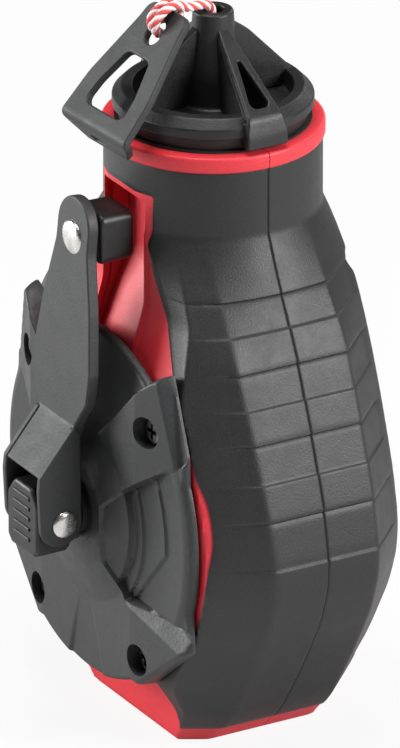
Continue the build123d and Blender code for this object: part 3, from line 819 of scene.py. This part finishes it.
# crank: bent plate with two ears, domed rivets, squared knob, release button
crank = {
    "path": [(-42.5, 155.8), (-48.6, 93.4), (-59.6, 80.0)], "thick": 3.3, "soft": 0.55, "bend": 2.0,
    "edge": [(8.3, 0.0, 8.2), (8.3, 14.0, 12), (12.3, 30.0, 24), (14.9, 46.5, 7), (14.5, 54.5, 2.2),
             (9.7, 62.0, 1.2), (10.2, 66.0, 3), (10.2, 79.4, 0.7)],
    "ear": [(-46.4, 59.5, 6.2), (-58.9, 59.5, 6.2), (-59.7, 77.0, 3), (-59.3, 80.9, 1.0),
            (-48.7, 93.9, 0.9), (-46.9, 91.2, 1.4)],
    "earX": 9.3, "earThick": 1.9,
    "pin": (-52.0, 66.0), "pinHead": 3.75, "pinFar": 11.65, "pinShaft": 1.95, "pinSeat": 10.3,
    "rivet": 144.4, "rivetHead": 4.9, "rivetFront": -44.75,
    "knob": [(7.2, -7.2, 2.4), (7.2, 7.2, 2.4)], "knobY": (-38.7, -28.2), "knobTaper": 0.003,
    "button": [(6.1, 56.0, 1.2), (8.1, 58.2, 1.4), (8.1, 71.0, 2.0), (4.4, 75.8, 2.4)],
    "buttonY": (-59.4, -48.8),
    "rod": [(0.05, 35.5), (1.35, 35.5), (1.35, 50.0), (0.05, 50.0)], "rodHeight": 61.0,
    "ridges": (60.5, 63.5, 66.5, 69.5, 72.5), "ridge": (4.4, 0.62), "ridgeRound": 0.6, "ridgeProud": 0.45,
}


def makeArm():
    place = alongPath(crank["path"], [crank["bend"]])
    length = math.dist(crank["path"][0], crank["path"][1])
    cuts = [length + shift for shift in (-2.4, -1.6, -0.8, 0, 0.8, 1.6, 2.4)] + [20, 40]

    def bend(across, along, up):
        y, z, dy, dz = place(along)
        deep = crank["thick"] / 2 - up
        return across, y - dz * deep, z + dy * deep

    plate = makePlate("armPlate", [rounded(mirrorX(crank["edge"]), 8)], crank["thick"], crank["soft"],
                      looks["armPlastic"], cuts, bend)
    ears = [makePlate("ear", [rounded(crank["ear"], 8)], crank["earThick"], 0.5, looks["armPlastic"], (),
                      lambda y, z, x, side=side: (x + side * crank["earX"], y, z)) for side in (-1, 1)]
    return crisp(joinInto(plate, ears))


def domed(radius, height, low, steps=7):  # half outline of a rivet head that stands on z = low
    line = [(radius, low), (radius, low + height * 0.25)]
    for step in range(1, steps):
        turn = math.radians(90 * step / steps)
        line.append((radius * math.cos(turn), low + height * (0.25 + 0.75 * math.sin(turn))))
    return line + [(0.05, low + height)]


def makePin():  # both heads and the shaft, about the X axis
    far, shaft, seat = crank["pinFar"], crank["pinShaft"], crank["pinSeat"]
    right = domed(crank["pinHead"], far - seat, seat)
    left = [(0.05, -far)] + [(r, -z) for r, z in reversed(right[:-1])]
    profile = left + [(shaft, -seat), (shaft, seat)] + right
    pin = makeLathe("pin", profile, looks["brightSteel"], 48)
    y0, z0 = crank["pin"]
    move(pin, lambda x, y, z: (z, x + y0, y + z0))
    return crisp(pin, 50)


def makeRivet():  # front head, shank and the collar behind the knob, about the Y axis
    front = -crank["rivetFront"]
    line = domed(crank["rivetHead"], 1.6, front - 1.6)
    profile = [(0.05, 28.9), (3.9, 28.9), (3.9, 30.2), (2.45, 30.2), (2.45, front - 1.6)] + line
    rivet = makeLathe("rivet", profile, looks["brightSteel"], 56)
    move(rivet, lambda x, y, z: (x, -z, y + crank["rivet"]))
    return crisp(rivet, 50)


def standing(low, high):  # a plate's thickness turned to lie between two y values
    return lambda x, z, y: (x, (low + high) / 2 - y, z)


def makeKnob():
    low, high = crank["knobY"]
    corners = crank["knob"] + [(-x, z, r) for x, z, r in reversed(crank["knob"])]
    knob = makePlate("knobBlock", [rounded(corners, 8)], high - low, 1.3, looks["knobPlastic"], (),
                     standing(low, high))

    def taper(x, y, z):
        size = 1 - crank["knobTaper"] * (y - low)
        return x * size, y, z * size + crank["rivet"]

    move(knob, taper)
    return crisp(knob)


def makeButton():
    low, high = crank["buttonY"]
    block = makePlate("buttonBlock", [rounded(mirrorX(crank["button"]), 6)], high - low, 1.0,
                      looks["knobPlastic"], (), standing(low, high))
    parts = []
    (half, tall), soft, proud = crank["ridge"], crank["ridgeRound"], crank["ridgeProud"]
    for level in crank["ridges"]:
        bar = rounded([(half, level - tall, soft), (half, level + tall, soft), (-half, level + tall, soft),
                       (-half, level - tall, soft)], 4)
        parts.append(makePlate("ridge", [bar], 1.0, 0.32, looks["knobPlastic"], (),
                               standing(low - proud, low + 1 - proud)))
    rod = makeLathe("rod", crank["rod"], looks["knobPlastic"], 24)
    move(rod, lambda x, y, z: (x, -z, y + crank["rodHeight"]))
    return crisp(joinInto(block, parts + [rod]))


armPiece = makeArm()
armPiece.name = "armPiece"
finishPiece(armPiece, "arm", "arm_plastic", "crank_arm")
finishPiece(makePin(), "crank", "bright_steel", "hinge_pin")
finishPiece(makeRivet(), "arm", "bright_steel", "knob_rivet")
finishPiece(makeKnob(), "knob", "knob_plastic", "crank_knob")
finishPiece(makeButton(), "button", "button_plastic", "push_button")

# line: four yarns twisted round one route, from inside the cap to two turns about the hook's tip
line = {
    "route": [(0, 0, 161.0), (0, 0, 184.0), (0, 0, 198.5), (0.2, -0.8, 202.9), (0.8, -4.6, 203.9),
              (1.9, -9.4, 204.2), (2.5, -12.9, 206.4), (2.6, -16.9, 205.2), (2.2, -19.9, 201.2),
              (1.7, -17.4, 197.7), (0.9, -12.4, 198.2), (0.1, -9.9, 202.4), (-0.2, -12.2, 206.4),
              (-0.4, -16.7, 205.4), (-0.2, -19.9, 201.6), (0.4, -17.0, 198.0), (1.0, -13.4, 196.6)],
    "radius": 1.28, "yarn": 0.70, "pitch": 6.6, "colours": ("whiteYarn", "redYarn", "whiteYarn", "redYarn"),
}


def routePoints(route):
    data = bpy.data.curves.new("route", "CURVE")
    data.dimensions = "3D"
    data.resolution_u = 16
    spline = data.splines.new("NURBS")
    spline.points.add(len(route) - 1)
    for point, place in zip(spline.points, route):
        point.co = (place[0] * mm, place[1] * mm, place[2] * mm, 1)
    spline.order_u = 3
    spline.use_endpoint_u = True
    holder = bpy.data.objects.new("route", data)
    bpy.context.scene.collection.objects.link(holder)
    mesh = bpy.data.meshes.new_from_object(holder)
    points = np.array([v.co for v in mesh.vertices]) / mm
    bpy.data.objects.remove(holder)
    bpy.data.meshes.remove(mesh)
    return points


def evenly(points, step):
    reach = np.append(0, np.cumsum(np.linalg.norm(np.diff(points, axis=0), axis=1)))
    places = np.linspace(0, reach[-1], int(reach[-1] / step) + 1)
    return np.stack([np.interp(places, reach, points[:, k]) for k in range(3)], axis=1), places


def framesAlong(centres, side):  # two directions square to a route, carried along it without twist
    ahead = np.gradient(centres, axis=0)
    ahead /= np.linalg.norm(ahead, axis=1)[:, None]
    frames = []
    for forward in ahead:
        side = side - forward * (side @ forward)
        side = side / np.linalg.norm(side)
        frames.append((side, np.cross(forward, side)))
    return frames


def sweptTube(name, centres, radius, material, sides):
    points = []
    start = np.cross(centres[1] - centres[0], (1, 0.3, 0.2))
    for centre, (side, up) in zip(centres, framesAlong(centres, start)):
        for step in range(sides):
            turn = 2 * math.pi * step / sides
            points.append(centre + radius * (math.cos(turn) * side + math.sin(turn) * up))
    faces = gridFaces(len(centres), sides, True)
    faces += [tuple(reversed(range(sides))), tuple(range((len(centres) - 1) * sides, len(centres) * sides))]
    obj = makeObject(name, points, faces, material)
    dropLoose(obj, True)
    return obj


def twisted(values):  # yarns as helices about the route
    centres, places = evenly(routePoints(values["route"]), 0.35)
    frames = framesAlong(centres, np.array((1.0, 0, 0)))
    yarns = []
    away = values["radius"] - values["yarn"]
    for index, colour in enumerate(values["colours"]):
        turns = 2 * math.pi * (places / values["pitch"] + index / len(values["colours"]))
        path = np.array([centre + away * (math.cos(t) * a + math.sin(t) * b)
                         for centre, t, (a, b) in zip(centres, turns, frames)])
        yarns.append(sweptTube("yarn", path, values["yarn"], looks[colour], 9))
    return joinInto(yarns[0], yarns[1:]), centres


lineEnd, lineCentres = twisted(line)
lineEnd.name = "lineEnd"
finishPiece(lineEnd, "hook", "line_cotton", "line_end")
lineReach = float(np.sum(np.linalg.norm(np.diff(lineCentres, axis=0), axis=1)))
tuple(lineCentres[0] * mm)
[tuple(point * mm) for point in lineCentres]
print("line end", round(lineReach, 1), "mm")

# button's return spring: a coil of wire that fills the CAD spring's box
spring = {"turns": 5.5, "wire": 0.35, "travel": 2.5, "points": 160}


def makeSpring():
    low, high = [np.array(corner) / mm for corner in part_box("button_spring")]
    middle = (low + high) / 2
    wire, count = spring["wire"], spring["points"]
    reach = (high[2] - low[2]) / 2 - wire
    turns = np.linspace(0, spring["turns"] * 2 * math.pi, count)
    along = np.linspace(low[1] + wire, high[1] - wire, count)
    centres = stack(middle[0] + reach * np.cos(turns), along, middle[2] + reach * np.sin(turns))
    coil = sweptTube("springCoil", centres, wire, looks["brightSteel"], 8)
    finishPiece(coil, "crank", "bright_steel", "button_spring")
    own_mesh(coil)


makeSpring()

# gear cover: a height map over the front, gathered on rays from the hub
cover = {
    "radius": 50.0, "rim": 33.2, "face": 39.8, "domeFoot": 27.5,
    "dome": [(0, 43.5), (14.5, 43.5), (20, 42.3), (27.5, 39.8)],  # distance from the hub, depth
    "lugs": [(0, 98.6), (12.5, 98.6), (33, 114.0), (37, 116), (45.2, 94.8), (46.4, 66), (48.2, 38.5),
             (27, 21.4), (22.0, 22), (0, 22)],
    "window": [(14.0, 54.5), (14.0, 70.8), (22.6, 78.6), (46.5, 94.6), (60, 94), (60, 44), (47.5, 44.3),
               (21.5, 45)],
    "steps": [(28.3, 38.1), (38.9, 37.2)], "floor": 36.4,
    "sector": 24.5, "sectorDrop": 0.9,  # inside this radius the window is only a shallow step
    "edgeDepth": (38.9, 35.4),  # depth of the disc at its edge, below and above the hub
    "upperShoulder": [(9.0, 90.0), (32.5, 113.5)],  # the screw bosses rise from the disc along these lines
    "lowerShoulder": [(8.0, 21.0), (3.0, 38.0)],
    "raise": [(26.6, 50.4), (39.8, 65.5)],  # the raised sector ends along this slant
    "side": [(36.0, 114.2), (41.2, 94.6)],  # ridge of the steep bevel beside the upper screw
    "ridge": [(21.5, 44.6), (44.8, 38.2)],  # ridge of the wedge beside the lower screw
    "screws": [(32, 98.5), (27, 29.5)], "holeRadius": 4.5, "holeDepth": 35.0,
    "tilt": 0.32, "sideSlope": 1.75, "lowerTilt": 0.13, "wedgeSlope": 0.62,
    "edgeDrop": 1.2, "lipHeight": 1.0, "rimRound": 1.4, "rimHeight": 0.8, "wall": 1.8,
    "rays": 520, "rings": 96, "bore": 8.3,
}


def lineSide(points, x, z):  # signed distance from a line through two points
    (ax, az), (bx, bz) = points
    return ((x - ax) * (bz - az) - (z - az) * (bx - ax)) / math.hypot(bx - ax, bz - az)


def coverOutlineAt(x, z):
    disc = np.hypot(x, z - hubHeight) - cover["radius"]
    return np.minimum(disc, polyDistance(bothSides(cover["lugs"]), x, z))


def coverDepth(x, z):
    ax = np.abs(x)
    r = np.hypot(x, z - hubHeight)
    face = cover["face"]
    foot = np.interp(z, [50, 85], cover["edgeDepth"])
    dome = np.interp(r, *np.array(cover["dome"]).T)
    outwards = np.clip((r - cover["domeFoot"]) / (cover["radius"] - cover["domeFoot"]), 0, 1)
    disc = dome + (foot - face) * outwards
    upper = np.minimum(face + 0.9, face + cover["tilt"] * (cover["screws"][0][0] - 1.0 - ax))
    upper = upper - cover["sideSlope"] * np.maximum(-lineSide(cover["side"], ax, z), 0)
    lower = face - cover["lowerTilt"] * np.maximum(ax - 24, 0)
    wedge = np.maximum(-lineSide(cover["ridge"], ax, z), 0) * (ax > cover["ridge"][0][0])
    lower = lower - cover["wedgeSlope"] * wedge
    top = disc
    for lug, shoulder, near in ((upper, "upperShoulder", z > 79), (lower, "lowerShoulder", z < 52)):
        level = np.where(r < 30, np.maximum(disc, lug), lug)
        top = top + (level - disc) * smooth(-0.5, 0.5, lineSide(cover[shoulder], ax, z)) * near
    window = polyDistance(cover["window"], ax, z)
    floor = np.full(x.shape, cover["floor"])
    above = smooth(-0.3, 0.3, -lineSide(cover["raise"], ax, z))
    previous = cover["floor"]
    for radius, level in reversed(cover["steps"]):
        gain = (level - previous) * (1 - smooth(radius - 0.25, radius + 0.25, r))
        floor = floor + gain * (above if radius > 30 else 1)
        previous = level
    floor = floor - cover["edgeDrop"] * smooth(46.5, 50.5, r)
    shallow = 1 - smooth(cover["sector"] - 0.4, cover["sector"] + 0.2, r)
    floor = floor + (disc - cover["sectorDrop"] - floor) * shallow
    depth = floor + (top - floor) * smooth(-0.75, 0.0, window)
    depth = np.maximum(depth, cover["rim"] + cover["lipHeight"])
    low = cover["rim"] + cover["rimHeight"]
    lift = np.clip(-coverOutlineAt(x, z) / cover["rimRound"], 0, 1)
    return low + (depth - low) * np.sqrt(1 - (1 - lift) ** 2)


def makeCover():
    rays = np.linspace(0, 2 * math.pi, cover["rays"], endpoint=False)
    reach = np.full(rays.shape, 80.0)
    near = np.full(rays.shape, 10.0)
    for _ in range(halvings):  # the outline along each ray
        middle = (reach + near) / 2
        out = coverOutlineAt(middle * np.cos(rays), hubHeight + middle * np.sin(rays)) > 0
        reach, near = np.where(out, middle, reach), np.where(out, near, middle)
    share = np.linspace(0, 1, cover["rings"])[:, None] ** 0.92
    radius = cover["bore"] + (near - cover["bore"]) * share
    x, z = radius * np.cos(rays), hubHeight + radius * np.sin(rays)

    def windowAt(px, pz):
        return polyDistance(cover["window"], np.abs(px), pz)

    def holeAt(px, pz):
        near = [np.hypot(np.abs(px) - sx, pz - sz) for sx, sz in cover["screws"]]
        return np.minimum(*near) - cover["holeRadius"]

    nudge = 0.01
    for level, low, high in ((0.0, -0.37, 0.3), (-0.75, -0.3, 0.38)):  # points near a wall move to its edges
        edge = windowAt(x, z) - level
        gx = (windowAt(x + nudge, z) - level - edge) / nudge
        gz = (windowAt(x, z + nudge) - level - edge) / nudge
        close = (edge > low) & (edge < high) & (share > 0.02) & (share < 0.985)
        x, z = x - np.where(close, edge * gx, 0), z - np.where(close, edge * gz, 0)
    x, z = np.vstack([x[:1], x, x[-1:]]), np.vstack([z[:1], z, z[-1:]])
    rim = x.size - x.shape[1]
    x, z, faces = clipGrid(x, z, holeAt, True)
    depth = coverDepth(x, z)
    back = np.maximum(depth - cover["wall"], cover["rim"])
    depth[:len(rays)] = back[:len(rays)]
    depth[rim:rim + len(rays)] = cover["rim"]
    outer, inner = stack(x, -depth, z), stack(x, -back, z)
    lip, edges = rimOfHoles(faces, holeAt(x, z), 0.01)
    obj = thickSkin("coverPiece", outer, inner, faces, looks["coverPlastic"], lip)
    joinInto(obj, [holeWalls(outer, edges, -cover["holeDepth"], looks["coverPlastic"])])
    sharpen(obj, 48)
    return obj


coverPiece = makeCover()
finishPiece(coverPiece, "housing", "dark_plastic", "gear_cover")

# CAD nodes that are shown as they are get their finishes here
nodeLooks = {
    "darkSteel": ("cover_screws", "case_screws"), "brightSteel": ("planet_pins", "spool_axle"),
    "blackRubber": ("case_seal", "cover_seal", "cap_gasket"), "bronze": ("front_bush", "rear_bush"),
    "gearPlastic": ("ring_gear", "carrier", "planet_gear_1", "planet_gear_2", "planet_gear_3", "spool",
                    "sun_gear", "wiper_retainer"),
    "knobPlastic": ("crank_bush", "crank_hub"), "felt": ("line_wiper",),
    "whiteYarn": ("line_lead",), "redYarn": ("line_winding",),
}
for look, nodes in nodeLooks.items():
    for node in nodes:
        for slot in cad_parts[node].material_slots:
            slot.material = looks[look]
print("CAD nodes finished:", sum(len(nodes) for nodes in nodeLooks.values()))

# studio: pale floor, soft lamps, camera
studio = {
    "floorSize": 9.0, "floorShade": 0.62, "floorGlow": 0.90, "worldLight": 0.07,
    "azimuth": 60.0, "elevation": 24.0, "distance": 4.0,
    "across": -3.51, "up": 86.49, "depth": 34.6,  # the view's centre in mm, along the camera's own axes
    "tall": 202.16,  # height of the view, mm
    # name, place and size in metres, power
    "lamps": [("right", (1.06, 0.63, 0.66), 0.55, 20.0), ("left", (-0.90, -1.00, 0.45), 0.70, 24.0),
              ("top", (0.05, -0.10, 1.40), 0.50, 11.0), ("rear", (-0.5, 1.1, 0.7), 0.60, 3.0)],
    "aim": (0, 0, 0.09),
}


def makeCamera():
    a, e = math.radians(studio["azimuth"]), math.radians(studio["elevation"])
    back = Vector((math.sin(a) * math.cos(e), -math.cos(a) * math.cos(e), math.sin(e)))
    right = Vector((math.cos(a), math.sin(a), 0))
    up = back.cross(right)
    target = (right * studio["across"] + up * studio["up"] + back * studio["depth"]) * mm
    data = bpy.data.cameras.new("camera")
    data.lens = 36 * studio["distance"] / (studio["tall"] * mm)
    data.clip_end = 50
    camera = bpy.data.objects.new("camera", data)
    turn = Matrix((right, up, back)).transposed().to_4x4()
    camera.matrix_world = Matrix.Translation(target + back * studio["distance"]) @ turn
    bpy.context.scene.collection.objects.link(camera)
    bpy.context.scene.camera = camera


def makeLamp(name, place, size, power):
    data = bpy.data.lights.new(name, "AREA")
    data.size = size
    data.energy = power
    lamp = bpy.data.objects.new(name, data)
    lamp.location = place
    aim = Vector(studio["aim"]) - Vector(place)
    lamp.rotation_euler = aim.to_track_quat("-Z", "Y").to_euler()
    bpy.context.scene.collection.objects.link(lamp)


def makeFloor():
    half = studio["floorSize"] / 2 / mm
    floor = makeObject("floor", [(-half, -half, 0), (half, -half, 0), (half, half, 0), (-half, half, 0)],
                       [(0, 1, 2, 3)], looks["felt"])
    finish = Finish("floorPaint", Roughness=0.9)
    shades = [[studio["floorShade"] + change] * 3 for change in (-0.01, 0.01)]
    finish.give("Base Color", finish.mix(finish.noise(3, 2), *shades))
    glow = finish.add("ShaderNodeEmission", None, {"Color": (1, 1, 1, 1), "Strength": 1.0})
    seen = finish.add("ShaderNodeLightPath", out="Is Camera Ray")
    blend = finish.add("ShaderNodeMixShader", None, {0: seen * studio["floorGlow"], 2: glow})
    finish.tree.links.new(finish.shader.outputs[0], blend.socket.node.inputs[1])
    finish.tree.links.new(blend.socket, finish.tree.nodes["Material Output"].inputs["Surface"])
    floor.data.materials[0] = finish.material


def makeWorld():  # white where the camera looks, dim as a light
    world = bpy.data.worlds.new("studio")
    bpy.context.scene.world = world
    nodes = Nodes(world)
    camera = nodes.add("ShaderNodeLightPath", out="Is Camera Ray")
    through = nodes.add("ShaderNodeLightPath", out="Is Transmission Ray")
    level = nodes.add("ShaderNodeMapRange", None, {"Value": camera.maths("MAXIMUM", camera, through),
                                                   "To Min": studio["worldLight"], "To Max": 1.0})
    background = nodes.tree.nodes["Background"]
    nodes.feed(background.inputs["Strength"], level)
    nodes.feed(background.inputs["Color"], (1, 1, 1, 1))


makeCamera()
for lampValues in studio["lamps"]:
    makeLamp(*lampValues)
makeFloor()
makeWorld()
bpy.context.scene.view_settings.view_transform = "Standard"
print("studio made")
